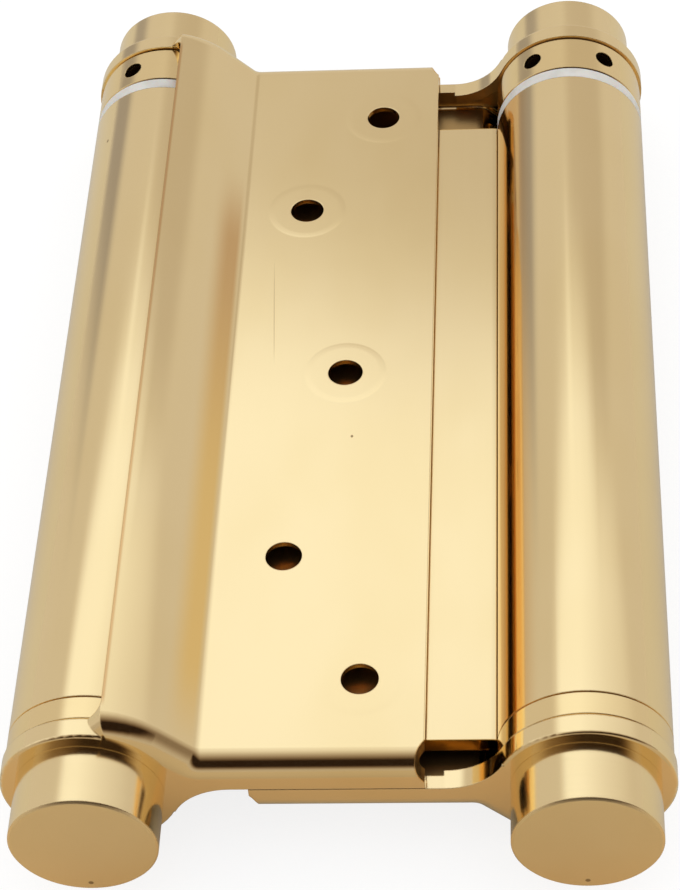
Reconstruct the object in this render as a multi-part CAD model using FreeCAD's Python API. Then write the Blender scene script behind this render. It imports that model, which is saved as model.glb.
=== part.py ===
import FreeCAD, Part
import math
import os

# Double-action spring hinge, lying on its back as it does when it is closed.
# X runs across the hinge, Y along the two barrels towards their tension collars,
# and Z out of the front leaf. The origin is half way between the barrel axes,
# half way along the hinge. The rear leaf is the front leaf turned half round Y.
# All sizes are millimetres and degrees.

# Overall sizes
barrel_spacing = 62.5
overall_length = 152.4

# Centre plate, rolled into a spring tube at each edge
tube_radius = 11.1
plate_thickness = 2.2
plate_bend_radius = 2.0
seam_gap = 0.4

# Leaves, pressed from sheet
sheet = 2.0
leaf_to_plate_gap = 1.9
leaf_edge_reach = 11.15
panel_clearance = 0.3
panel_slope = 45.0
panel_free_edge_angle = 12.0
panel_ramp = 45.0
panel_corner_radius = 1.6
crease_radius = 1.0
fold_inner_radius = 0.8
fold_relief_radius = 4.6
fold_relief_depth = 1.1
ear_rim_overhang = 0.3
ear_rim_wall = 1.8
ear_rim_round = 0.4
ear_rim_turn = 0.8
ear_fillet = 8.0
leaf_parting_gap = 0.12

# Screw holes in each leaf: places across and along, from the middle of the hinge
screw_hole_diameter = 4.9
screw_outer_across = 2.8
screw_outer_along = 54.25
screw_inner_across = -8.0
screw_inner_along = 33.65
screw_middle_across = -1.05
dimple_diameter = 12.6
dimple_crown_diameter = 9.6
dimple_height = 0.035
dimple_sink = 0.01
countersink_land = 0.8

# Spindles, caps and ear washers
spindle_diameter = 8.0
spindle_fit = 0.05
cap_diameter = 18.9
cap_height = 8.45
cap_bore_depth = 6.0
cap_edge_break = 0.3
washer_clearance = 1.1
washer_play = 0.05

# The stack along each barrel, between the rims of the two ears
running_gap = 0.2
collar_length = 7.05
nylon_thickness = 2.05
plug_rim_length = 3.65
edge_break = 0.25

# Tension collar
collar_hole_count = 6
collar_hole_diameter = 3.0
collar_hole_depth = 5.0
front_collar_phase = 34.0
rear_collar_phase = 30.0
hub_play = 0.3
hub_length = 6.5
pilot_length = 6.0
nylon_fit = 0.08

# Anchor plug, and the pin that holds it in the tube
plug_hub_length = 7.5
plug_fit = 0.05
plug_pin_diameter = 3.0
plug_pin_floor = 0.5
plug_pin_angle = 28.0
plug_pin_setback = 0.15

# Torsion spring, wound from square wire that fills the room between its pilots and
# the tube, with a straight tang at each end
pilot_wall = 1.55
spring_play = 0.35
spring_pitch = 7.15
tang_length = 2.5
tang_play = 0.15

# Places that follow from the sizes above
half_spacing = barrel_spacing / 2
tube_bore = tube_radius - plate_thickness
ear_rim_radius = tube_radius + ear_rim_overhang
ear_outer = overall_length / 2 - cap_height
ear_floor = ear_outer - sheet
rim_edge = ear_floor - ear_rim_turn
stack_end = rim_edge - running_gap
collar_start = stack_end - collar_length
tube_far_end = collar_start - nylon_thickness
tube_near_end = plug_rim_length - stack_end
leaf_back = plate_thickness / 2 + leaf_to_plate_gap
leaf_face = leaf_back + sheet
fold_radius = fold_inner_radius + sheet
panel_inner = tube_radius + panel_clearance
panel_outer = panel_inner + sheet
spindle_radius = spindle_diameter / 2
spindle_bore = spindle_radius + spindle_fit
hub_radius = tube_bore - hub_play
plug_radius = tube_bore - plug_fit
coil_outer = tube_bore - spring_play
pilot_radius = spindle_bore + pilot_wall
coil_inner = pilot_radius + spring_play
spring_wire = coil_outer - coil_inner
pin_floor = spindle_bore + plug_pin_floor
collar_hub_end = tube_far_end - hub_length
plug_hub_end = tube_near_end + plug_hub_length
spring_low = plug_hub_end + tang_play
spring_high = collar_hub_end - tang_play
spring_turns = (spring_high - spring_low - spring_wire) / spring_pitch
block_lap = sheet / 10
far_out = barrel_spacing


def at(across, up, along=0.0):
    """A point from its place across, its height and its place along."""
    return FreeCAD.Vector(across, along, up)


origin = at(0, 0)
along_y = at(0, 0, 1)


def line(start, end):
    """A straight edge."""
    return Part.LineSegment(start, end).toShape()


def path(points):
    """Straight edges through the points, in order."""
    return [line(a, b) for a, b in zip(points, points[1:])]


def polar(centre, radius, angle):
    """The point at an angle from +X towards +Z around a centre."""
    turn = math.radians(angle)
    return centre + at(radius * math.cos(turn), radius * math.sin(turn))


def arc(centre, radius, start, end):
    """An arc in the XZ plane, from one angle to another."""
    middle = polar(centre, radius, (start + end) / 2)
    return Part.Arc(polar(centre, radius, start), middle, polar(centre, radius, end)).toShape()


def prism(edges, low, high):
    """A closed outline in the XZ plane, pulled along Y from low to high."""
    face = Part.Face(Part.Wire(edges))
    face.translate(at(0, 0, low))
    return face.extrude(at(0, 0, high - low))


def turned(points):
    """A solid of revolution about Y, from the radius and place of each corner."""
    corners = [at(radius, 0, along) for radius, along in points]
    face = Part.Face(Part.Wire(path(corners + corners[:1])))
    return face.revolve(origin, along_y, 360)


def rod(radius, low, high):
    """A round bar along Y."""
    return Part.makeCylinder(radius, high - low, at(0, 0, low), along_y)


def cross_rod(radius, near, far, angle, along):
    """A round bar that points away from Y, at an angle from +Z towards +X."""
    heading = polar(origin, 1, 90 - angle)
    return Part.makeCylinder(radius, far - near, at(0, 0, along) + heading * near, heading)


def half_turn(shape):
    """The piece turned half round the hinge's middle line."""
    piece = shape.copy()
    piece.rotate(origin, along_y, 180)
    return piece


def round_end_edges(solid, outline, place, radius):
    """Fillets the edges of a prism's far end that lie over the given outline."""
    followed = Part.Compound(outline)

    def follows(edge):
        middle = edge.valueAt((edge.FirstParameter + edge.LastParameter) / 2)
        flat = edge.BoundBox.YLength < 0.001
        foot = Part.Vertex(at(middle.x, middle.z))
        on_end = abs(middle.y - place) < 0.001
        return flat and on_end and followed.distToShape(foot)[0] < 0.001
    return solid.makeFillet(radius, [edge for edge in solid.Edges if follows(edge)])


# The leaf's outline: a flat screw plate, a crease, a slope up to the panel over
# the barrel, and a ramp from the panel's free edge down to the ear's round rim

axis = at(-half_spacing, 0)
slope = math.radians(panel_slope)
slope_run = (panel_outer * math.cos(slope) - leaf_face) / math.sin(slope)
crease_corner = polar(axis, panel_outer, 90 - panel_slope).x + slope_run * math.cos(slope)
crease_centre = at(crease_corner + crease_radius * math.tan(slope / 2), leaf_face + crease_radius)
free_edge = polar(axis, panel_outer, 90 - panel_free_edge_angle)
ramp_heading = polar(origin, 1, 180 + panel_ramp)
ramp_inward = polar(origin, 1, panel_ramp - 90)
ramp_reach = fold_radius + fold_inner_radius + leaf_parting_gap
fillet_drop = leaf_parting_gap / 2 - ear_fillet
fillet_run = math.sqrt((ear_rim_radius + ear_fillet) ** 2 - fillet_drop ** 2)
fillet_centre = axis + at(fillet_run, fillet_drop)
fillet_meets_rim = math.degrees(math.atan2(fillet_drop, fillet_run))
fold_line = leaf_face - fold_radius
fold_bend = crease_corner - fold_radius * math.tan(slope / 2)
sill = fold_line - block_lap
rim_start_angle = 75.0


def leaf_front(depth, reach, last_angle):
    """The leaf's front from its straight edge over to its panel, a depth under the surface."""
    crease_end = 270 - panel_slope
    slope_top = polar(axis, panel_outer - depth, 90 - panel_slope)
    flat = line(at(reach, leaf_face - depth), at(crease_centre.x, leaf_face - depth))
    crease = arc(crease_centre, crease_radius + depth, 270, crease_end)
    rise = line(polar(crease_centre, crease_radius + depth, crease_end), slope_top)
    panel = arc(axis, panel_outer - depth, 90 - panel_slope, last_angle)
    return [flat, crease, rise, panel]


def ramp_start(depth):
    """Where the ramp leaves the panel's arc, a depth under the surface."""
    offset = free_edge + ramp_inward * depth - axis
    run = offset.dot(ramp_heading)
    reach = math.sqrt(run ** 2 - offset.dot(offset) + (panel_outer - depth) ** 2)
    return axis + offset - ramp_heading * (run + reach)


def folded_block(depth, reach, floor, end, radius):
    """What lies behind the leaf's front, from its middle to an end that is folded over."""
    corner = ramp_start(depth)
    last_angle = math.degrees(math.atan2(corner.z, corner.x - axis.x))
    ramp_end = corner + ramp_heading * ramp_reach
    front = leaf_front(depth, reach, last_angle) + [line(corner, ramp_end)]
    back = [ramp_end, axis, at(fillet_centre.x, sill), at(fillet_centre.x + block_lap, floor),
            at(reach, floor), at(reach, leaf_face - depth)]
    outline = front + path(back)
    fold = round_end_edges(prism(outline, -2 * radius, 0), front, 0, radius)
    block = prism(outline, 0, end - 2 * radius)
    return block.fuse(fold.translated(at(0, 0, end))).removeSplitter()


def ear_rim(depth, low, high):
    """The round end of an ear, from under the ramp round to the fillet."""
    radius = ear_rim_radius - depth
    rim = arc(axis, radius, rim_start_angle, 360 + fillet_meets_rim)
    back = [polar(axis, radius, fillet_meets_rim), axis, polar(axis, radius, rim_start_angle)]
    return prism([rim] + path(back), low, high), rim


def ear_web(depth, reach, low, high):
    """The fillet beside the rim, and the flange from there along the parting of the leaves."""
    start = polar(fillet_centre, ear_fillet + depth, 180 + fillet_meets_rim)
    fillet = arc(fillet_centre, ear_fillet + depth, 180 + fillet_meets_rim, 90)
    end = polar(fillet_centre, ear_fillet + depth, 90)
    top = fold_line - block_lap / 2
    inner = axis + at(tube_bore - ear_rim_wall, spindle_radius)
    back = [end, at(reach, end.z), at(reach, top), at(fold_bend, top), inner, axis, start]
    return prism([fillet] + path(back), low, high)


def fold_relief():
    """The hollow where the end's fold pulls in the leaf's straight edge."""
    middle = fold_radius * (1 - math.cos(math.pi / 4))
    across = leaf_edge_reach + fold_relief_radius - fold_relief_depth
    return Part.makeSphere(fold_relief_radius, at(across, leaf_face - middle, ear_outer - middle))


def both_ends(piece):
    """A piece at the far end and its mirror at the near end."""
    return [piece, piece.mirror(origin, along_y)]


def under_the_leaf():
    """The space that the tube, the centre plate and the collar turn in."""
    front = leaf_front(sheet, leaf_edge_reach + sheet, 90)
    top = front[-1].Vertexes[-1].Point
    start = front[0].Vertexes[0].Point
    back = [polar(axis, panel_inner, 90), axis - at(0, far_out), at(start.x, -far_out), start]
    below = prism(front + path(back), -rim_edge, rim_edge)
    corner = at(free_edge.x - far_out, -far_out, -rim_edge)
    beside = Part.makeBox(far_out, 2 * rim_edge, 2 * far_out, corner)

    def is_corner(edge):
        box = edge.BoundBox
        return box.ZLength > far_out and abs(box.XMin - free_edge.x) < 0.001
    corners = [edge for edge in beside.Edges if is_corner(edge)]
    return [below, beside.makeFillet(panel_corner_radius, corners)]


def dimple():
    """The raised ring that a pressed countersink pushes out of the leaf's front."""
    outer = dimple_diameter / 2
    crown = dimple_crown_diameter / 2
    rise = dimple_height + dimple_sink
    base = leaf_face - dimple_sink
    half_run = (outer - crown) / 2
    bend = (half_run ** 2 + (rise / 2) ** 2) / rise
    turn = math.degrees(math.asin(half_run / bend))
    foot = arc(at(outer, base + bend), bend, 270, 270 - turn)
    brow = arc(at(crown, base + rise - bend), bend, 90 - turn, 90)
    rest = [at(crown, base + rise), at(0, base + rise), at(0, leaf_back + sheet / 2),
            at(outer, leaf_back + sheet / 2), at(outer, base)]
    face = Part.Face(Part.Wire([foot, brow] + path(rest)))
    return face.revolve(origin, at(0, 1), 360)


def screw_cut():
    """A countersunk screw hole, sunk from the back of the leaf."""
    radius = screw_hole_diameter / 2
    crown = leaf_face + dimple_height
    depth = crown - countersink_land - leaf_back
    spare = sheet / 2
    cone = Part.makeCone(radius + depth + spare, radius, depth + spare, at(0, leaf_back - spare),
                         at(0, 1))
    hole = Part.makeCylinder(radius, far_out, at(0, 0), at(0, 1))
    return cone.fuse(hole)


def screw_places():
    """Where the five screw holes are, across and along."""
    outer = [(screw_outer_across, side * screw_outer_along) for side in (-1, 1)]
    inner = [(screw_inner_across, side * screw_inner_along) for side in (-1, 1)]
    return outer + inner + [(screw_middle_across, 0)]


def half_leaf():
    """The far half of the front leaf, with its ear, before the screw holes."""
    reach = leaf_edge_reach
    outside = folded_block(0, reach, sill, ear_outer, fold_radius)
    rim, rim_outline = ear_rim(0, rim_edge, ear_outer)
    rim = round_end_edges(rim, [rim_outline], ear_outer, ear_rim_round)
    outside = outside.fuse([rim, ear_web(0, reach, rim_edge, ear_outer)]).removeSplitter()
    inside = [folded_block(sheet, reach + sheet, -sheet, ear_floor, fold_inner_radius),
              ear_rim(ear_rim_wall, rim_edge - sheet, ear_floor)[0],
              ear_web(ear_rim_wall, reach + sheet, rim_edge - sheet, ear_floor)]
    return outside.cut(inside + under_the_leaf() + [fold_relief()])


def leaf():
    """The front leaf: one pressing with its panel, its two ears and five dimpled holes."""
    near, far = both_ends(half_leaf())
    spots = [at(across, 0, along) for across, along in screw_places()]
    pressing = near.fuse([far] + [dimple().translated(spot) for spot in spots])
    holes = [screw_cut().translated(spot) for spot in spots]
    spindle_hole = rod(spindle_bore, -ear_outer, ear_outer).translated(axis)
    return pressing.cut(holes + [spindle_hole]).removeSplitter()


def centre_plate():
    """The flat plate and the two spring tubes that its edges are rolled into."""
    half = plate_thickness / 2
    roll = tube_radius - half
    run = math.sqrt((roll + plate_bend_radius) ** 2 - plate_bend_radius ** 2)
    tube = at(half_spacing, 0)
    bend = at(half_spacing - run, -plate_bend_radius)
    meet = math.degrees(math.asin(plate_bend_radius / (roll + plate_bend_radius)))
    lip = 180 - math.degrees(math.asin((half + seam_gap) / tube_radius))
    bend_outer = plate_bend_radius + half
    bend_inner = plate_bend_radius - half
    half_outline = [
        line(at(-bend.x, half), at(bend.x, half)),
        arc(bend, bend_outer, 90, meet),
        arc(tube, tube_bore, meet - 180, lip),
        line(polar(tube, tube_bore, lip), polar(tube, tube_radius, lip)),
        arc(tube, tube_radius, lip, meet - 180),
        arc(bend, bend_inner, meet, 90),
    ]
    outline = half_outline + [half_turn(edge) for edge in half_outline]
    plate = prism(outline, tube_near_end, tube_far_end)
    pin = cross_rod(plug_pin_diameter / 2, pilot_radius, tube_radius + sheet, plug_pin_angle,
                    pin_place())
    pin = pin.translated(at(-half_spacing, 0))
    return plate.cut([pin, half_turn(pin)])


def pin_place():
    """The pin goes through the middle of the plug's hub."""
    return tube_near_end + plug_hub_length / 2


def broken_rim(radius, low, high, size):
    """The corners of a rim whose two edges are broken, from its low to its high end."""
    return [(radius - size, low), (radius, low + size), (radius, high - size), (radius - size, high)]


def tang_slot(low, high):
    """The slot in a hub that the spring's tang sits in."""
    width = spring_wire + 2 * tang_play
    return Part.makeBox(width, high - low, width, at(coil_inner - tang_play, -width / 2, low))


def coil_end_turn(piece):
    """The piece turned round its barrel from the coil's near end to its far end."""
    moved = piece.copy()
    moved.rotate(origin, along_y, -360 * spring_turns)
    return moved


def tension_collar(phase):
    """The collar that winds the spring: a rim with tommy-bar holes over a stepped hub."""
    rim = broken_rim(tube_radius, collar_start, stack_end, edge_break)
    hub = [(spindle_bore, stack_end), (spindle_bore, collar_hub_end - pilot_length),
           (pilot_radius, collar_hub_end - pilot_length), (pilot_radius, collar_hub_end),
           (hub_radius, collar_hub_end), (hub_radius, collar_start)]
    collar = turned(rim + hub)
    pitch = 360 / collar_hole_count
    middle = (collar_start + stack_end) / 2
    radius = collar_hole_diameter / 2
    floor = tube_radius - collar_hole_depth
    holes = [cross_rod(radius, floor, tube_radius + sheet, phase + index * pitch, middle)
             for index in range(collar_hole_count)]
    slot = tang_slot(collar_hub_end, collar_hub_end + tang_length + tang_play)
    return collar.cut(holes + [coil_end_turn(slot)])


def nylon_washer():
    """The washer that the collar turns on, at the tube's far end."""
    rim = broken_rim(tube_radius, tube_far_end, collar_start, edge_break / 2)
    bore = hub_radius + nylon_fit
    return turned(rim + [(bore, collar_start), (bore, tube_far_end)])


def anchor_plug():
    """The plug that closes the tube's near end and holds the fixed end of the spring."""
    rim = broken_rim(tube_radius, -stack_end, tube_near_end, edge_break)
    hub = [(plug_radius, tube_near_end), (plug_radius, plug_hub_end),
           (pilot_radius, plug_hub_end), (pilot_radius, plug_hub_end + pilot_length),
           (spindle_bore, plug_hub_end + pilot_length), (spindle_bore, -stack_end)]
    plug = turned(rim + hub)
    slot = tang_slot(plug_hub_end - tang_length - tang_play, plug_hub_end)
    hole = cross_rod(plug_pin_diameter / 2, pin_floor, tube_radius, plug_pin_angle, pin_place())
    return plug.cut([slot, hole])


def plug_pin():
    """The pin through the tube into the anchor plug, just under the tube's surface."""
    top = tube_radius - plug_pin_setback
    return cross_rod(plug_pin_diameter / 2, pin_floor, top, plug_pin_angle, pin_place())


def spring():
    """A left-hand coil of square wire between the two hubs, with a tang into each."""
    middle = (coil_inner + coil_outer) / 2
    rise = spring_high - spring_low - spring_wire
    curl = Part.makeHelix(spring_pitch, rise, middle)
    curl.rotate(origin, at(1, 0), -90)
    curl.translate(at(0, 0, spring_low + spring_wire / 2))
    corners = [at(coil_inner, 0, spring_low), at(coil_outer, 0, spring_low),
               at(coil_outer, 0, spring_low + spring_wire), at(coil_inner, 0, spring_low + spring_wire)]
    section = Part.Wire(path(corners + corners[:1]))
    coil = Part.Wire(curl.Edges).makePipeShell([section], True, True)
    coil = coil.mirror(origin, at(0, 1))
    corner = at(coil_inner, -spring_wire / 2, spring_low - tang_length)
    tang = Part.makeBox(spring_wire, tang_length + spring_wire, spring_wire, corner)
    far_tang = coil_end_turn(tang.translated(at(0, 0, rise + tang_length)))
    return coil.fuse([tang, far_tang])


def spindle():
    """The rod that a barrel turns on, from cap to cap."""
    reach = ear_outer + cap_bore_depth - spindle_fit
    return rod(spindle_radius, -reach, reach)


def top_cap():
    """A cap over the spindle's far end, seated on the ear."""
    radius = cap_diameter / 2
    end = ear_outer + cap_height
    bore = spindle_radius + spindle_fit / 2
    corners = [(0, end), (0, ear_outer + cap_bore_depth), (bore, ear_outer + cap_bore_depth),
               (bore, ear_outer), (radius, ear_outer), (radius, end - cap_edge_break),
               (radius - cap_edge_break, end)]
    return turned(corners)


def ear_washer():
    """The thrust washer in the cup of the far ear."""
    bore = spindle_bore
    radius = ear_rim_radius - ear_rim_wall - washer_clearance
    low = stack_end + washer_play
    return turned([(bore, low), (radius, low), (radius, ear_floor), (bore, ear_floor)])


def front_barrel(piece):
    """A piece made on the Y axis, moved to the front leaf's barrel."""
    return piece.translated(at(-half_spacing, 0))


def rear_barrel(piece):
    """The same piece for the rear leaf's barrel, turned half round with the leaf."""
    return half_turn(piece.translated(at(-half_spacing, 0)))


def near_end(piece):
    """The mirror of a far-end piece, at the barrel's near end."""
    return piece.mirror(origin, along_y)


os.makedirs("parts", exist_ok=True)
front_leaf = leaf()
pieces = {
    "front_leaf": front_leaf,
    "rear_leaf": half_turn(front_leaf),
    "centre_plate": centre_plate(),
}
phases = {"front": front_collar_phase, "rear": rear_collar_phase}
for side, to_barrel in (("front", front_barrel), ("rear", rear_barrel)):
    pieces[side + "_tension_collar"] = to_barrel(tension_collar(phases[side]))
    pieces[side + "_nylon_washer"] = to_barrel(nylon_washer())
    pieces[side + "_anchor_plug"] = to_barrel(anchor_plug())
    pieces[side + "_plug_pin"] = to_barrel(plug_pin())
    pieces[side + "_spring"] = to_barrel(spring())
    pieces[side + "_spindle"] = to_barrel(spindle())
    pieces[side + "_top_cap"] = to_barrel(top_cap())
    pieces[side + "_bottom_cap"] = to_barrel(near_end(top_cap()))
    pieces[side + "_top_washer"] = to_barrel(ear_washer())
    pieces[side + "_bottom_washer"] = to_barrel(near_end(ear_washer()))

for name, piece in pieces.items():
    piece.exportStep("parts/" + name + ".step")
    print(name, len(piece.Solids), piece.isValid(), round(piece.Volume, 1))
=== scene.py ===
# %% [markdown]
# # A double-action spring hinge, plated and polished
#
# The hinge lies closed on its back. Two pressed leaves turn on two rolled tubes, and
# every outer piece is steel with a thin coat of polished brass. Polished metal has
# hardly any colour of its own pattern: what the eye reads is the room mirrored in it.
# So this lesson spends its effort on three things: a studio worth mirroring, a plate
# finish with the small faults of a real one, and the camera that sees them. The shapes
# come with the frame and stay as they are: pressed sheet is best drawn in CAD, where a
# fold has its true radius.

# %% Load the fixed frame
import math

import bmesh
import bpy
from mathutils import Matrix, Vector


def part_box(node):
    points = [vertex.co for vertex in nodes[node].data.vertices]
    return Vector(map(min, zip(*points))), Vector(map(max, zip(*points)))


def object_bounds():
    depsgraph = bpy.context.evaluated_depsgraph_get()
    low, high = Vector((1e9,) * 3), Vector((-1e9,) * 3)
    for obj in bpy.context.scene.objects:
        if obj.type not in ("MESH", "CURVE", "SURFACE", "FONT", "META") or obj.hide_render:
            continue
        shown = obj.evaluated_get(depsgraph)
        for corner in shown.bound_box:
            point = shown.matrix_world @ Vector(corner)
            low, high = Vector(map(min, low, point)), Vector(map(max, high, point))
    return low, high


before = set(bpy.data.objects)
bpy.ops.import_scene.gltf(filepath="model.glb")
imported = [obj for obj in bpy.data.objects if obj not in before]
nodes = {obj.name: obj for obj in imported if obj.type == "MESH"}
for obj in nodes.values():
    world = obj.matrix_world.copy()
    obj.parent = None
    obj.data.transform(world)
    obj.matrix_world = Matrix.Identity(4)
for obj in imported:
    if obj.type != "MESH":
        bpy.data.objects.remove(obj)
cad_low, cad_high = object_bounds()


def in_mm(*lengths):
    """Lengths in metres as rounded millimetres, to print."""
    return [round(length * 1000, 2) for length in lengths]


print("frame:", len(nodes), "pieces, box", in_mm(*(cad_high - cad_low)), "mm")

# %% [markdown]
# ## Places to measure from
#
# Nothing here is typed twice. The barrels' axes, radii and ends come from the boxes
# of the pieces that the frame holds, so a finish that follows a barrel still fits if
# the hinge is packed again at another size. Only the leaf's own section can't be read
# from a box: its thickness, the height of its back, where its crease runs and how far
# round the tube its panel starts.

# %% Where the two barrels are
SIDES = ("front", "rear")


def middle_of(node):
    """The middle of a piece's box."""
    low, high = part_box(node)
    return (low + high) / 2


barrel_x = {side: middle_of(side + "_spindle").x for side in SIDES}
tube_radius = (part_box("front_anchor_plug")[1].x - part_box("front_anchor_plug")[0].x) / 2
cap_radius = (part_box("front_top_cap")[1].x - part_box("front_top_cap")[0].x) / 2
cap_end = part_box("front_top_cap")[1].y
leaf_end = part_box("front_leaf")[1].y
leaf_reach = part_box("front_leaf")[1].x
plate_low, plate_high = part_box("centre_plate")
panel_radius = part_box("front_leaf")[1].z

SHEET_THICKNESS = 0.002
LEAF_BACK = 0.003
LEAF_FACE = LEAF_BACK + SHEET_THICKNESS
CREASE = -0.0173
PANEL_START_DEGREES = 12
panel_edge = barrel_x["front"] + panel_radius * math.sin(math.radians(PANEL_START_DEGREES))
print("barrels at", in_mm(*barrel_x.values()), "mm, tube radius", in_mm(tube_radius), "mm")
print("leaf's reach and its panel's edge", in_mm(leaf_reach, panel_edge), "mm")

# %% [markdown]
# ## Shader maths in plain Python
#
# A shader is a chain of little machines joined by wires. Written out wire by wire it
# is hard to read, so a small class wraps one output socket and lets ordinary signs
# such as `+` and `*` add the Math node that does the sum. Everything else, from a
# noise to the shader itself, comes from one method that takes the node's type, its
# settings and what goes into its sockets.

# %% A socket that can be added and multiplied
class Signal:
    """A number that may differ from point to point: one output socket of a node."""

    def __init__(self, bench, socket):
        self.bench = bench
        self.socket = socket

    def maths(self, operation, first, second=0.0):
        """One Math node."""
        return self.bench.get("ShaderNodeMath", {"operation": operation}, {0: first, 1: second})

    def __add__(self, other):
        return self.maths("ADD", self, other)

    def __sub__(self, other):
        return self.maths("SUBTRACT", self, other)

    def __rsub__(self, other):
        return self.maths("SUBTRACT", other, self)

    def __mul__(self, other):
        return self.maths("MULTIPLY", self, other)

    def __truediv__(self, other):
        return self.maths("DIVIDE", self, other)

    def __pow__(self, other):
        return self.maths("POWER", self, other)

    def __abs__(self):
        return self.maths("ABSOLUTE", self)

    __radd__ = __add__
    __rmul__ = __mul__

    def at_least(self, other):
        """The larger of the two."""
        return self.maths("MAXIMUM", self, other)

    def at_most(self, other):
        """The smaller of the two."""
        return self.maths("MINIMUM", self, other)

    def step(self, low, high):
        """0 below low, 1 above high, and an S-curve between them. High may be the lower one."""
        return self.bench.get("ShaderNodeMapRange", {"interpolation_type": "SMOOTHSTEP"},
                              {"Value": self, "From Min": low, "From Max": high})

    def band(self, low, high, soft):
        """1 between low and high, fading over soft on both sides."""
        return self.step(low - soft, low + soft) * self.step(high + soft, high - soft)


class Bench:
    """One node tree and the one method that adds nodes to it."""

    def __init__(self, tree):
        self.tree = tree
        tree.nodes.clear()

    def node(self, kind, settings=None, inputs=None):
        """A new node: its type, its settings, then the values or links of its sockets."""
        made = self.tree.nodes.new(kind)
        for name, value in (settings or {}).items():
            setattr(made, name, value)
        for name, value in (inputs or {}).items():
            if isinstance(value, Signal):
                self.tree.links.new(value.socket, made.inputs[name])
            else:
                made.inputs[name].default_value = value
        return made

    def get(self, kind, settings=None, inputs=None, output=0):
        """One output of a new node, ready for sums."""
        return Signal(self, self.node(kind, settings, inputs).outputs[output])

    def mix(self, factor, first, second):
        """A colour between two colours."""
        return self.get("ShaderNodeMix", {"data_type": "RGBA"}, {0: factor, 6: first, 7: second}, 2)

    def scaled(self, vector, x, y, z):
        """A place stretched by its own factor along each axis."""
        return self.get("ShaderNodeVectorMath", {"operation": "MULTIPLY"}, {0: vector, 1: (x, y, z)})

    def noise(self, place, detail):
        """Soft noise, one lump to each unit of the place."""
        return self.get("ShaderNodeTexNoise", None,
                        {"Vector": place, "Scale": 1.0, "Detail": detail, "Roughness": 0.5})

    def axes(self, vector):
        """The three numbers of a place."""
        made = self.node("ShaderNodeSeparateXYZ", None, {0: vector})
        return [Signal(self, made.outputs[index]) for index in range(3)]


print("a signal knows:", [name.strip("_") for name, value in vars(Signal).items() if callable(value)])

# %% [markdown]
# ## The studio
#
# The hinge was pictured on white, in a tent of cloth lit from above and from behind.
# Polished plate mirrors all of it, so the studio is painted by direction in a few
# large shapes. The roof is brightest at the far left and fades towards the camera,
# until only the dark room is left: that fade is the cream on the near half of the leaf
# and the black line along each folded end. Under the roof's edge hang plain walls,
# the tan on the far half of the leaf and down each tube, with one grey panel among
# them. A single number, the level of light, is worked out for each direction. The
# less light, the warmer it is, so three powers of the level give its colour.
#
# A photograph of a studio, wrapped round the scene, would do the same and need a file.
# Lamps and cards would do it too, but each edge in the mirror would have to be found by
# moving a card. Here each edge is a short sum of x, y and z, and one number moves it.
#
# Only rays that come off polished metal meet the painted tent. The camera, and the
# rays that light nylon and paper, meet plain white, so these stay neutral.
#
# Here and below, two numbers in brackets are where a step starts and where it is done,
# and three are the sides of a band and how softly it fades.

# %% The tent: a fading roof, walls, a grey panel and the dark room
ROOF_MIDDLE, ROOF_PER_Y, ROOF_PER_X = 0.485, 0.90, -0.38
ROOF_BRIGHTEST = 1.06
DARK_ROOM = 0.02
WALL, WALL_BEHIND = 0.66, 0.56
LOW_FRONT = 0.52
FRONT_BEGINS = (0.20, -0.10)
LOW_BEGINS = (0.50, 0.04)
LEAST_Y = 0.05
BEHIND_SIDES = (-0.05, 0.75, 0.14)
BEHIND_HEIGHT = (0.30, 0.50)
ROOF_EDGE = 0.983
SIDE_EDGE_Y, SIDE_EDGE_X = 1.28, -0.60
STRAIGHT_BEHIND = (-0.15, -0.075, 0.035)
EDGE_LIFT = 0.03
EDGE_FADE = (-0.085, 0.055)
ROOF_LEFT_END = (-0.66, -1.00)
ROOF_LEFT_DEPTH = (0.2, 0.4)
PANEL_SIDES = (-1.00, -0.66, 0.12)
PANEL_HEIGHT = (0.02, 0.33, 0.08)
PANEL_DEPTH = (0.1, 0.3)
WARMTH = (1.0, 1.2, 1.4)
TINT = (1.0, 1.02, 1.06)
GREY_PANEL = (0.37, 0.35, 0.37, 1)
WHITE = (1, 1, 1, 1)


def light_level(x, y, z):
    """How much light comes from a direction."""
    roof = (y * ROOF_PER_Y + x * ROOF_PER_X + ROOF_MIDDLE).at_most(ROOF_BRIGHTEST).at_least(DARK_ROOM)
    low_in_front = z.step(*LOW_BEGINS) * y.step(*FRONT_BEGINS)
    roof = roof + (LOW_FRONT - roof) * low_in_front

    aside = x / y.at_least(LEAST_Y)
    behind = aside.band(*BEHIND_SIDES) * z.step(*BEHIND_HEIGHT)
    wall = behind * (WALL_BEHIND - WALL) + WALL

    edge = (y * ROOF_EDGE).at_most(y * SIDE_EDGE_Y + x * SIDE_EDGE_X)
    edge = edge + (1 - x.band(*STRAIGHT_BEHIND)) * EDGE_LIFT
    over = (z - edge).step(*EDGE_FADE)
    over = over * (1 - aside.step(*ROOF_LEFT_END) * y.step(*ROOF_LEFT_DEPTH))
    return wall + (roof - wall) * over


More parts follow.
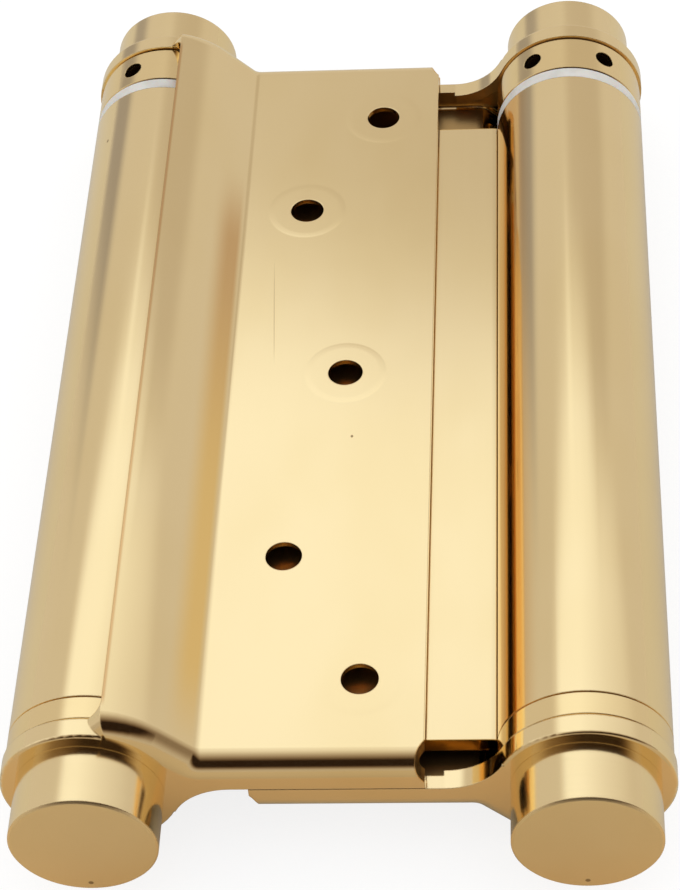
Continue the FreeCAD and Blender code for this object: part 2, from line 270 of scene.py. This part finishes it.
def tent(world):
    """Paints the world: the tent to polished metal, and plain white to the rest."""
    bench = Bench(world.node_tree)
    heading = bench.get("ShaderNodeTexCoord", None, None, "Generated")
    x, y, z = bench.axes(heading)
    level = light_level(x, y, z)
    channels = {index: level ** power * tint for index, (power, tint) in enumerate(zip(WARMTH, TINT))}
    light = bench.get("ShaderNodeCombineColor", None, channels)
    aside = x / y.at_least(LEAST_Y)
    panel = aside.band(*PANEL_SIDES) * z.band(*PANEL_HEIGHT) * y.step(*PANEL_DEPTH)
    light = bench.mix(panel, light, GREY_PANEL)

    mirrored = bench.get("ShaderNodeLightPath", None, None, "Is Glossy Ray")
    painted = bench.get("ShaderNodeBackground", None, {"Color": light, "Strength": 1.0})
    white = bench.get("ShaderNodeBackground", None, {"Color": WHITE, "Strength": 1.0})
    both = bench.get("ShaderNodeMixShader", None, {0: mirrored, 1: white, 2: painted})
    bench.node("ShaderNodeOutputWorld", None, {"Surface": both})


scene = bpy.context.scene
scene.world = bpy.data.worlds.new("studio_tent")
scene.world.use_nodes = True
tent(scene.world)
scene.view_settings.view_transform = "Standard"
print("studio: roof", ROOF_BRIGHTEST, "walls", WALL, "dark room", DARK_ROOM)

# %% [markdown]
# ## The floor
#
# A pale sheet that the hinge lies on. Seen directly it is white paper that still
# takes the hinge's soft shadow. Mirrored in the plate it is duller, because a mirrored
# floor at full white would wash out the undersides: grey-white beside the barrels,
# with painted shade in front of the near folds, warm there and a step deeper beyond,
# where it stands for the hinge's shadow and the brass light bounced onto the floor.
# Light Path tells the two apart. A backdrop with a curve behind would show no more
# here, since nothing but the floor is behind the hinge.

# %% A pale floor that keeps the shadow
FLOOR_REACH = 3.0
SHEET_COLOUR = (0.66, 0.63, 0.58, 1)
# painted shade on the mirrored floor: warm in front of the near folds, deeper beyond
SHEET_SHADED_IN_FRONT = (0.64, 0.475, 0.315, 1)
SHEET_SHADED_BEYOND = (0.54, 0.45, 0.34, 1)
PAPER_COLOUR = (0.22, 0.22, 0.22, 1)
PAPER_GLOW = 0.82
FRONT_SHADE_STEP = (-0.060, -0.078)
BEYOND_SHADE_STEP = (-0.080, -0.087)


def pale_floor(height):
    """A wide sheet just under the hinge."""
    mesh = bpy.data.meshes.new("floor")
    shape = bmesh.new()
    bmesh.ops.create_grid(shape, x_segments=1, y_segments=1, size=FLOOR_REACH,
                          matrix=Matrix.Translation((0, 0, height)))
    shape.to_mesh(mesh)
    shape.free()
    floor = bpy.data.objects.new("floor", mesh)
    scene.collection.objects.link(floor)
    finish = bpy.data.materials.new("pale_floor")
    finish.use_nodes = True
    bench = Bench(finish.node_tree)
    along = bench.axes(bench.get("ShaderNodeTexCoord", None, None, "Object"))[1]
    # painted shade: the mirrored sheet turns warmer and darker in front of the hinge
    shaded_sheet = bench.mix(along.step(*FRONT_SHADE_STEP), SHEET_COLOUR, SHEET_SHADED_IN_FRONT)
    shaded_sheet = bench.mix(along.step(*BEYOND_SHADE_STEP), shaded_sheet, SHEET_SHADED_BEYOND)
    sheet = bench.get("ShaderNodeBsdfDiffuse", None, {"Color": shaded_sheet})
    paper = bench.get("ShaderNodeBsdfDiffuse", None, {"Color": PAPER_COLOUR})
    glow = bench.get("ShaderNodeEmission", None, {"Color": WHITE, "Strength": PAPER_GLOW})
    lit_paper = bench.get("ShaderNodeAddShader", None, {0: paper, 1: glow})
    seen = bench.get("ShaderNodeLightPath", None, None, "Is Camera Ray")
    both = bench.get("ShaderNodeMixShader", None, {0: seen, 1: sheet, 2: lit_paper})
    bench.node("ShaderNodeOutputMaterial", None, {"Surface": both})
    mesh.materials.append(finish)
    return floor


floor = pale_floor(cad_low.z)
print("floor at", in_mm(cad_low.z), "mm, with", len(floor.data.polygons), "face")

# %% [markdown]
# ## The plate finish
#
# Brass plate is a metal, so Metallic is 1 and the colour tints the mirror image.
# Five things keep it from looking like a computer's gold. Pressed sheet is never quite
# flat, so a bump of a few hundredths of a millimetre bends the reflections. Polishing
# leaves hair lines along the stroke. Plate has pin holes, specks and rubbed places.
# No edge is knife-sharp: a Bevel node rounds the normals beside each edge, which costs
# no faces and catches a fine line of light. And the wheel doesn't reach inside folds
# and holes, where the plate stays dull and gets a painted brown shade.
#
# All of it is worked out from a point's own place on the hinge. Painting it by hand
# would need an unwrapped mesh, and a painted line is never as fine as a computed one.

# %% Brass plate, one class that every plated piece starts from
PLATE_COLOUR = (0.95, 0.765, 0.43, 1)
PLATE_SHADE = (0.925, 0.735, 0.395, 1)
TURNED_COLOUR = (0.95, 0.745, 0.39, 1)
TURNED_SHADE = (0.925, 0.72, 0.365, 1)
# brown of the plate's own pin holes and marks, also used as painted shade in holes
SPECK_AND_SHADE_COLOUR = (0.20, 0.11, 0.04, 1)
# painted shade colour for the hollows that the wheel never reached
HOLLOW_SHADE_COLOUR = (0.84, 0.56, 0.23, 1)
SHADE_LUMPS = (55, 30, 55)
SHADE_SHARE = (0.35, 0.7)
SPECK_CORE, SPECK_SOFT = 0.4, 0.8
MARK_FADE = (1.0, 0.35)
UPPER_SIDE = (-0.001, 0.001)
EDGE_WIDTH = 0.00022
EDGE_SAMPLES = 4
DULL = 0.30
SPECK_ROUGHNESS = 0.2


class Plate:
    """A brass-plated finish under construction: its node bench and the signals it shares."""

    def __init__(self, name, colours=(PLATE_COLOUR, PLATE_SHADE)):
        self.material = bpy.data.materials.new(name)
        self.material.use_nodes = True
        self.bench = Bench(self.material.node_tree)
        self.place = self.bench.get("ShaderNodeTexCoord", None, None, "Object")
        self.x, self.y, self.z = self.bench.axes(self.place)
        self.up = (0, 0, 1)
        self.flat = None
        self.colours = colours
        self.dark = None
        self.inside = None
        self.tints = []
        self.bumps = []

    def turn_over(self):
        """Measures from the other side: a half turn about Y, as the rear leaf is made."""
        self.x = self.x * -1
        self.z = self.z * -1
        self.up = (0, 0, -1)

    def ripple(self, size, depth, along=1.0):
        """Slow waves of the sheet. Size and depth are in metres, along stretches them in Y."""
        lumps = self.bench.noise(self.bench.scaled(self.place, 1 / size, along / size, 1 / size), 1.0)
        self.bumps.append((lumps, depth))

    def hair_lines(self, x, y, z, depth):
        """Polishing lines: noise squeezed hard across the stroke. The factors are lines a metre."""
        lines = self.bench.noise(self.bench.scaled(self.place, x, y, z), 3.0)
        self.bumps.append((lines, depth))
        return lines

    def specks(self, spacing, size, share, seed):
        """Pin holes in the plate: one to a cell, in a small share of the cells."""
        moved = self.bench.get("ShaderNodeVectorMath", {"operation": "ADD"},
                               {0: self.place, 1: (seed, seed, seed)})
        cells = self.bench.node("ShaderNodeTexVoronoi", None,
                                {"Vector": moved, "Scale": 1 / spacing})
        reach = size / spacing
        near = Signal(self.bench, cells.outputs["Distance"]).step(reach, SPECK_CORE * reach)
        tint = self.bench.axes(Signal(self.bench, cells.outputs["Color"]))[0]
        self.darken(near * tint.step(share, SPECK_SOFT * share))

    def mark(self, x, y, long, wide, turn=0.0, depth=1.0):
        """One small dent or stain at a place seen from above, long in the direction of turn."""
        angle = math.radians(turn)
        across = (self.x - x) * math.cos(angle) + (self.y - y) * math.sin(angle)
        along = (self.y - y) * math.cos(angle) - (self.x - x) * math.sin(angle)
        reach = (across / wide) ** 2 + (along / long) ** 2
        self.darken(reach.step(*MARK_FADE) * self.z.step(*UPPER_SIDE) * depth)

    def darken(self, mask):
        """Brown where the mask is 1: pin holes and marks, and painted shade in holes and behind the
        leaf.
        """
        self.dark = mask if self.dark is None else self.dark.at_least(mask)

    def dull_and_shaded(self, mask):
        """Where the wheel never reached, the plate is dull, and it gets a painted shade colour."""
        self.inside = mask if self.inside is None else self.inside.at_least(mask)

    def tint(self, mask, colour):
        """Another colour where the mask is 1."""
        self.tints.append((mask, colour))

    def surface(self):
        """The normal: rounded at edges, calmed where the piece is flat, then the bumps."""
        normal = self.bench.get("ShaderNodeBevel", {"samples": EDGE_SAMPLES}, {"Radius": EDGE_WIDTH})
        if self.flat is not None:
            turned_up = self.bench.get("ShaderNodeVectorTransform",
                                       {"vector_type": "NORMAL", "convert_from": "OBJECT",
                                        "convert_to": "WORLD"}, {0: self.up})
            normal = self.bench.get("ShaderNodeMix", {"data_type": "VECTOR"},
                                    {0: self.flat, 4: normal, 5: turned_up}, 1)
        for height, depth in self.bumps:
            normal = self.bench.get("ShaderNodeBump", None, {"Height": height, "Distance": depth,
                                                             "Strength": 1.0, "Normal": normal})
        return normal

    def finish(self, roughness, dark_share=0.7):
        """Joins everything into the shader."""
        shade = self.bench.noise(self.bench.scaled(self.place, *SHADE_LUMPS), 2.0)
        colour = self.bench.mix(shade.step(*SHADE_SHARE), *self.colours)
        for mask, tint in self.tints:
            colour = self.bench.mix(mask, colour, tint)
        # a painted shade colour where the plate is dull
        if self.inside is not None:
            colour = self.bench.mix(self.inside, colour, HOLLOW_SHADE_COLOUR)
        # the plate's own specks and marks, and painted shade in holes and behind the leaf
        if self.dark is not None:
            colour = self.bench.mix(self.dark * dark_share, colour, SPECK_AND_SHADE_COLOUR)
            roughness = roughness + self.dark * SPECK_ROUGHNESS
        if self.inside is not None:
            roughness = roughness + (DULL - roughness) * self.inside
        shader = self.bench.get("ShaderNodeBsdfPrincipled", None,
                                {"Base Color": colour, "Metallic": 1.0,
                                 "Roughness": roughness, "Normal": self.surface()})
        self.bench.node("ShaderNodeOutputMaterial", None, {"Surface": shader})
        return self.material


print("edges rounded by", in_mm(EDGE_WIDTH), "mm in the shading")

# %% [markdown]
# ## The pressed leaves
#
# Each leaf is one pressing of 2 mm sheet: a panel round the tube, a slope, a crease, a
# flat with five dimpled holes, and two folded ends. Only its outside met the polishing
# wheel, so its back, the root of each fold and the bite where a fold pulls the edge in
# are dull, and they carry painted shade. The slope beside the crease carries a painted
# reflection of the other barrel, and the panel's cut edge a painted shade line. The
# rear leaf is the front one turned over, so one finish serves both, and only the marks
# that show in the photograph belong to the front leaf alone.

# %% Colours and places on the leaf
# painted reflection of the other barrel in the slope beside the crease
CREASE_REFLECTION_FAR = (0.74, 0.48, 0.21, 1)
CREASE_REFLECTION_NEAR = (0.98, 0.68, 0.25, 1)
CREASE_TURNS = (-0.030, 0.030)
STRIP_OUTSIDE = (CREASE - 0.0042, CREASE - 0.0016)
STRIP_INSIDE = (CREASE, CREASE - 0.0008)
STRIP_ENDS = (-0.060, 0.034, 0.009)
# painted shade line along the panel's cut edge, where it meets the tube
CUT_EDGE_SHADE = (0.74, 0.48, 0.22, 1)
CUT_SHADE_SHARE = 0.95
CUT_WIDTH = (panel_edge - 0.0002, panel_edge + 0.00042, 0.00016)
CUT_HEIGHT = (0.009, 0.010)
CUT_ENDS = (-0.0635, 0.0635, 0.001)
UNDER_LEAF = (LEAF_BACK + 0.0002, LEAF_BACK + 0.0001)
BACK_ENDS = (leaf_end - 0.00284, leaf_end - 0.00290)
FOLD_INSIDE = leaf_end - SHEET_THICKNESS
FOLD_INSIDE_SOFT = 0.0001
FACES_ALONG = (0.6, 0.8)
FOLD_ROOT = (0.0530, 0.0585)
# painted shade behind the leaf, deepest at the root of each fold
SHADE_AT_FOLD_ROOT, SHADE_BEHIND_LEAF = 0.65, 0.15
BITE_CENTRE = (leaf_reach + 0.0035, leaf_end - 0.0008, LEAF_BACK + 0.0012)
BITE_RADIUS = (0.00478, 0.00470)
FACE_HEIGHT = (LEAF_FACE - 0.00006, LEAF_FACE - 0.00002)
FACE_ENDS = (leaf_end - 0.0031, leaf_end - 0.0034)
FACE_SIDES = (CREASE + 0.0010, leaf_reach - 0.0006, 0.0002)
RINGS_FLATTENED = 0.7
LEAF_CLOUDS = (70, 40, 70)
LEAF_ROUGHNESS = 0.055
print("leaf's flat is", in_mm(FACE_SIDES[1] - FACE_SIDES[0]), "mm wide between crease and edge")


# %% The leaf's finish
def tint_strips(plate):
    """The slope beside the crease gets a painted reflection of the other barrel, the sheared edge a
    painted shade line.
    """
    # painted reflection of the other barrel in the slope beside the crease
    warm = plate.bench.mix(plate.y.step(*CREASE_TURNS), CREASE_REFLECTION_NEAR, CREASE_REFLECTION_FAR)
    strip = plate.x.step(*STRIP_OUTSIDE) * plate.x.step(*STRIP_INSIDE)
    plate.tint(strip * plate.y.band(*STRIP_ENDS), warm)
    # painted shade line along the panel's cut edge
    edge = plate.x.band(*CUT_WIDTH) * plate.z.step(*CUT_HEIGHT) * plate.y.band(*CUT_ENDS)
    plate.tint(edge * CUT_SHADE_SHARE, CUT_EDGE_SHADE)


def dull_and_shade_inside(plate, end):
    """Dull plate and painted shade behind the leaf, on the folds' inner faces, and in the bite."""
    behind = plate.z.step(*UNDER_LEAF)
    back = end.step(*BACK_ENDS) * behind
    facing = plate.bench.axes(plate.bench.get("ShaderNodeTexCoord", None, None, "Normal"))[1]
    wall = end.step(FOLD_INSIDE + FOLD_INSIDE_SOFT, FOLD_INSIDE) * behind
    plate.dull_and_shaded(wall * abs(facing).step(*FACES_ALONG))
    plate.dull_and_shaded(back)
    # painted shade behind the leaf, deepest at the root of each fold
    plate.darken(back * (end.step(*FOLD_ROOT) * SHADE_AT_FOLD_ROOT + SHADE_BEHIND_LEAF))
    x, y, z = BITE_CENTRE
    bite = (plate.x - x) ** 2 + (plate.z - z) ** 2
    bite = (bite + (end - y) ** 2) ** 0.5
    plate.dull_and_shaded(bite.step(*BITE_RADIUS))


def leaf_finish(name, marked):
    """Polished sheet with slow ripples; the marked leaf has the rubs that show from the front."""
    plate = Plate(name)
    if not marked:
        plate.turn_over()
    plate.ripple(size=0.035, depth=0.00006, along=0.5)
    plate.ripple(size=0.011, depth=0.000006)
    lines = plate.hair_lines(x=1500, y=60, z=1500, depth=0.0000012)
    plate.specks(spacing=0.009, size=0.00022, share=0.10, seed=3.1)
    if marked:
        plate.mark(x=-0.0118, y=0.0125, long=0.0115, wide=0.00010, turn=3, depth=0.35)
        plate.mark(x=0.0003, y=-0.0122, long=0.0003, wide=0.00022)
    end = abs(plate.y)
    tint_strips(plate)
    dull_and_shade_inside(plate, end)

    # the wheel leaves the pressed rings round the holes hardly proud of the face
    face = plate.z.step(*FACE_HEIGHT) * end.step(*FACE_ENDS)
    plate.flat = face * plate.x.band(*FACE_SIDES) * RINGS_FLATTENED
    cloud = plate.bench.noise(plate.bench.scaled(plate.place, *LEAF_CLOUDS), 3.0)
    return plate.finish(LEAF_ROUGHNESS + cloud * 0.05 + lines * 0.02)


def dress(name, material):
    """Gives a piece of the frame its finish."""
    slots = nodes[name].data.materials
    slots.clear()
    slots.append(material)


dress("front_leaf", leaf_finish("polished_front_leaf", True))
dress("rear_leaf", leaf_finish("polished_rear_leaf", False))
print("leaf finishes:", [nodes[side + "_leaf"].data.materials[0].name for side in SIDES])

# %% [markdown]
# ## The rolled centre plate
#
# One sheet with both edges rolled into tubes. Rolling and drawing leave lines along the
# tube, so here the hair lines are long in Y, and they are what breaks up the bright
# band on each barrel. A leaf lies over each face of the flat, where it stays dull and
# gets painted shade, and the flat's ends get a painted reflection. The side of a tube
# that faces the other leaf sees brass instead of cloth, and the mirror image of brass in
# brass comes out deeper than one plain finish gives it. A painted warm reflection on
# that side, and on the bend below it, adds what is missing.

# %% The centre plate's finish
BEND_COLOUR = (0.90, 0.61, 0.23, 1)
# painted brass-in-brass reflection on the flat's end faces
END_REFLECTION_COLOUR = (0.80, 0.50, 0.13, 1)
FACING_COLOUR = (0.78, 0.46, 0.15, 1)
FLAT_HALF = (0.0020, 0.0016)
COVERED = (leaf_reach, leaf_reach - 0.0030)
UNCOVERED_END = (0.00005, 0.00015)
BEND_OUT = (-0.01114, -0.0102, 0.00008)
BEND_HEIGHT = (0.0050, 0.0040)
FACING_OUT = (-0.0055, -0.0088)
FACING_FOOT = (-0.0112, -0.0110)
FACING_HEIGHT = (0.0038, 0.0050)
ABOVE_MIDDLE = (-0.0001, 0.0001)
TUBE_CLOUDS = (60, 30, 60)
TUBE_ROUGHNESS = 0.06


def tube_finish(name):
    """Rolled sheet: drawn lines run along the tubes, and the flat between them is calm."""
    plate = Plate(name)
    plate.ripple(size=0.030, depth=0.00003, along=0.3)
    plate.hair_lines(x=420, y=5, z=420, depth=0.000011)
    lines = plate.hair_lines(x=2200, y=14, z=2200, depth=0.0000022)
    plate.specks(spacing=0.010, size=0.00024, share=0.14, seed=7.7)
    plate.mark(x=-0.0389, y=0.0470, long=0.0004, wide=0.0002)

    # each face of the flat is covered by one leaf, where no wheel can reach: dull, with
    # painted shade, and the flat's end faces get a painted brass-in-brass reflection
    across = plate.x * (plate.z.step(*ABOVE_MIDDLE) * 2 - 1)
    height = abs(plate.z)
    thin = height.step(*FLAT_HALF)
    shallow, deep = UNCOVERED_END
    between = plate.y.step(plate_high.y - shallow, plate_high.y - deep)
    between = between * plate.y.step(plate_low.y + shallow, plate_low.y + deep)
    plate.dull_and_shaded(across.step(*COVERED) * thin * between)
    # painted brass-in-brass reflection on the flat's end faces
    plate.tint((1 - between) * thin, END_REFLECTION_COLOUR)

    # the side that faces the other leaf, and the bend below it, mirror brass in brass
    out = across - barrel_x["rear"]
    plate.tint(out.band(*BEND_OUT) * height.step(*BEND_HEIGHT), BEND_COLOUR)
    facing = out.step(*FACING_OUT) * out.step(*FACING_FOOT) * height.step(*FACING_HEIGHT)
    plate.tint(facing, FACING_COLOUR)
    cloud = plate.bench.noise(plate.bench.scaled(plate.place, *TUBE_CLOUDS), 3.0)
    return plate.finish(TUBE_ROUGHNESS + cloud * 0.05 + lines * 0.04)


dress("centre_plate", tube_finish("polished_tube_plate"))
print("bend's tint is", in_mm(BEND_OUT[1] - BEND_OUT[0]), "mm wide")

# %% [markdown]
# ## Turned collars, plugs and caps
#
# Collars, plugs and caps are cut from bar in a lathe, so their lines run round the
# piece. A ring of lines needs no special texture: noise squeezed along Y and left long
# in X and Z reads as rings on a cylinder about Y. A cap's flat end is faced with the
# same tool and isn't polished after, so it gets rings about its own axis and a satin
# roughness. The wheel doesn't reach into the tommy-bar holes, so they stay dull, and
# their brown is painted shade.

# %% The turned finishes
HOLE_BEGINS = (tube_radius - 0.0003, tube_radius - 0.0008)
FACED_END = (cap_end - 0.00030, cap_end - 0.00012)
RINGS_PER_METRE = 5200
RING_DEPTH = 0.0000035
PIP_BELOW_AXIS = cap_radius * 0.84
PIP_RADIUS = (0.00042, 0.00022)
# how strongly the painted shade browns the tommy-bar holes
HOLE_SHADE = 0.9
TURNED_ROUGHNESS, CAP_ROUGHNESS, FACED_ROUGHNESS = 0.08, 0.12, 0.26


def turned_finish(name):
    """Bar turned in a lathe: fine lines run round the piece."""
    plate = Plate(name, (TURNED_COLOUR, TURNED_SHADE))
    lines = plate.hair_lines(x=40, y=3800, z=40, depth=0.0000016)
    plate.specks(spacing=0.008, size=0.0002, share=0.08, seed=1.3)
    out = ((abs(plate.x) - barrel_x["rear"]) ** 2 + plate.z ** 2) ** 0.5
    # dull plate and painted shade inside the tommy-bar holes
    deep = out.step(*HOLE_BEGINS)
    plate.dull_and_shaded(deep)
    plate.darken(deep)
    return plate.finish(TURNED_ROUGHNESS + lines * 0.08, HOLE_SHADE)


turned = turned_finish("turned_plate")
for side in SIDES:
    dress(side + "_tension_collar", turned)
    dress(side + "_anchor_plug", turned)


def cap_finish(name, x, toward):
    """A turned cap: polished round its side, and satin on the faced end."""
    plate = Plate(name)
    out = ((plate.x - x) ** 2 + plate.z ** 2) ** 0.5
    faced = (plate.y * toward).step(*FACED_END)
    ring_place = plate.bench.get("ShaderNodeCombineXYZ", None, {0: out * RINGS_PER_METRE})
    rings = plate.bench.noise(ring_place, 2.0)
    lines = plate.hair_lines(x=40, y=3000, z=40, depth=0.0000014)
    plate.bumps.append((rings * faced, RING_DEPTH))
    pip = ((plate.x - x) ** 2 + (plate.z + PIP_BELOW_AXIS) ** 2) ** 0.5
    plate.darken(pip.step(*PIP_RADIUS) * faced)
    return plate.finish(CAP_ROUGHNESS + lines * 0.08 + faced * FACED_ROUGHNESS)


for side in SIDES:
    dress(side + "_top_cap", cap_finish(side + "_top_cap_plate", barrel_x[side], 1.0))
    dress(side + "_bottom_cap", cap_finish(side + "_bottom_cap_plate", barrel_x[side], -1.0))
print("plated finishes:", len([m for m in bpy.data.materials if m.name.endswith("plate")]))

# %% [markdown]
# ## Steel and nylon
#
# Inside the barrels nothing is plated: spindles, springs, pins and thrust washers are
# bright steel with a little oil. One function makes all three steels, because they
# differ only in colour, sheen and the way their lines run. The washer under each collar
# is natural nylon, which is milky rather than white, so a little light goes into it.

# %% Bright steel
STEEL = (0.58, 0.57, 0.55)
OILED_STEEL = (0.34, 0.33, 0.33)
OIL_SHADE = 0.82
OIL_CLOUDS = (160, 160, 160)
STEEL_LINE_DEPTH = 0.000003


def steel_finish(name, colour, roughness, x, y, z):
    """Drawn or turned steel, with lines along or round the piece."""
    material = bpy.data.materials.new(name)
    material.use_nodes = True
    bench = Bench(material.node_tree)
    place = bench.get("ShaderNodeTexCoord", None, None, "Object")
    lines = bench.noise(bench.scaled(place, x, y, z), 3.0)
    cloud = bench.noise(bench.scaled(place, *OIL_CLOUDS), 3.0)
    darker = tuple(OIL_SHADE * part for part in colour) + (1,)
    tint = bench.mix(cloud, colour + (1,), darker)
    bump = bench.get("ShaderNodeBump", None,
                     {"Height": lines, "Distance": STEEL_LINE_DEPTH, "Strength": 1.0})
    shader = bench.get("ShaderNodeBsdfPrincipled", None,
                       {"Base Color": tint, "Metallic": 1.0,
                        "Roughness": roughness + lines * 0.12, "Normal": bump})
    bench.node("ShaderNodeOutputMaterial", None, {"Surface": shader})
    return material


drawn_steel = steel_finish("drawn_steel", STEEL, roughness=0.22, x=1800, y=20, z=1800)
spring_steel = steel_finish("oiled_spring_steel", OILED_STEEL, roughness=0.30, x=900, y=900, z=900)
turned_steel = steel_finish("turned_steel", STEEL, roughness=0.25, x=30, y=3000, z=30)
print("steels:", [steel.name for steel in (drawn_steel, spring_steel, turned_steel)])

# %% Natural nylon
NYLON = (0.71, 0.69, 0.65, 1)
NYLON_SHADE = (0.61, 0.59, 0.55, 1)
MOTTLE_LUMPS = (350, 350, 350)
GRAIN_LUMPS = (5000, 5000, 5000)
GRAIN_DEPTH = 0.000004
NYLON_ROUGHNESS = 0.42
LIGHT_ENTERS, LIGHT_REACH = 0.15, 0.001


def nylon_finish():
    """Moulded nylon: milky, faintly mottled, with a soft sheen."""
    material = bpy.data.materials.new("natural_nylon")
    material.use_nodes = True
    bench = Bench(material.node_tree)
    place = bench.get("ShaderNodeTexCoord", None, None, "Object")
    mottle = bench.noise(bench.scaled(place, *MOTTLE_LUMPS), 3.0)
    grain = bench.noise(bench.scaled(place, *GRAIN_LUMPS), 1.0)
    bump = bench.get("ShaderNodeBump", None, {"Height": grain, "Distance": GRAIN_DEPTH, "Strength": 1.0})
    shader = bench.get("ShaderNodeBsdfPrincipled", None,
                       {"Base Color": bench.mix(mottle.step(0.3, 0.7), NYLON, NYLON_SHADE),
                        "Roughness": NYLON_ROUGHNESS + mottle * 0.1, "Normal": bump,
                        "Subsurface Weight": LIGHT_ENTERS, "Subsurface Scale": LIGHT_REACH})
    bench.node("ShaderNodeOutputMaterial", None, {"Surface": shader})
    return material


nylon = nylon_finish()
for side in SIDES:
    dress(side + "_nylon_washer", nylon)
    dress(side + "_spindle", drawn_steel)
    dress(side + "_spring", spring_steel)
    dress(side + "_plug_pin", drawn_steel)
    dress(side + "_top_washer", turned_steel)
    dress(side + "_bottom_washer", turned_steel)
print("finishes in all:", len(bpy.data.materials))

# %% [markdown]
# ## The camera
#
# The photograph looks down on the hinge at about 47 degrees, from close by, so the far
# end is clearly smaller than the near one. The place and the turn below came from
# matching the hinge's corners, and the lens from how strongly the barrels converge.
# Aiming the camera at an empty would be easier to read, but would leave out the small
# roll of the photograph.

# %% Stand the camera where the photographer stood
CAMERA_PLACE = Vector((0.0272887, -0.2696938, 0.2840609))
FOCAL_LENGTH_MM = 111.93
YAW = -0.1112
PITCH = 0.8256
ROLL = -0.0985
NEAREST_SEEN = 0.01


def photographer_camera():
    """A camera at the photograph's place, turned by its yaw, pitch and roll."""
    ahead = Vector((math.sin(YAW) * math.cos(PITCH), math.cos(YAW) * math.cos(PITCH), -math.sin(PITCH)))
    right = Vector((math.cos(YAW), -math.sin(YAW), 0))
    up = right.cross(ahead)
    rolled_right = right * math.cos(ROLL) + up * math.sin(ROLL)
    rolled_up = up * math.cos(ROLL) - right * math.sin(ROLL)
    data = bpy.data.cameras.new("photographer")
    data.lens = FOCAL_LENGTH_MM
    data.clip_start = NEAREST_SEEN
    camera = bpy.data.objects.new("photographer", data)
    turn = Matrix((rolled_right, rolled_up, -ahead)).transposed()
    camera.matrix_world = Matrix.Translation(CAMERA_PLACE) @ turn.to_4x4()
    scene.collection.objects.link(camera)
    return camera


scene.camera = photographer_camera()
print("camera at", in_mm(*CAMERA_PLACE), "mm, lens", FOCAL_LENGTH_MM)

# %% [markdown]
# ## The end
#
# Every piece keeps its CAD mesh and only gets a finish.
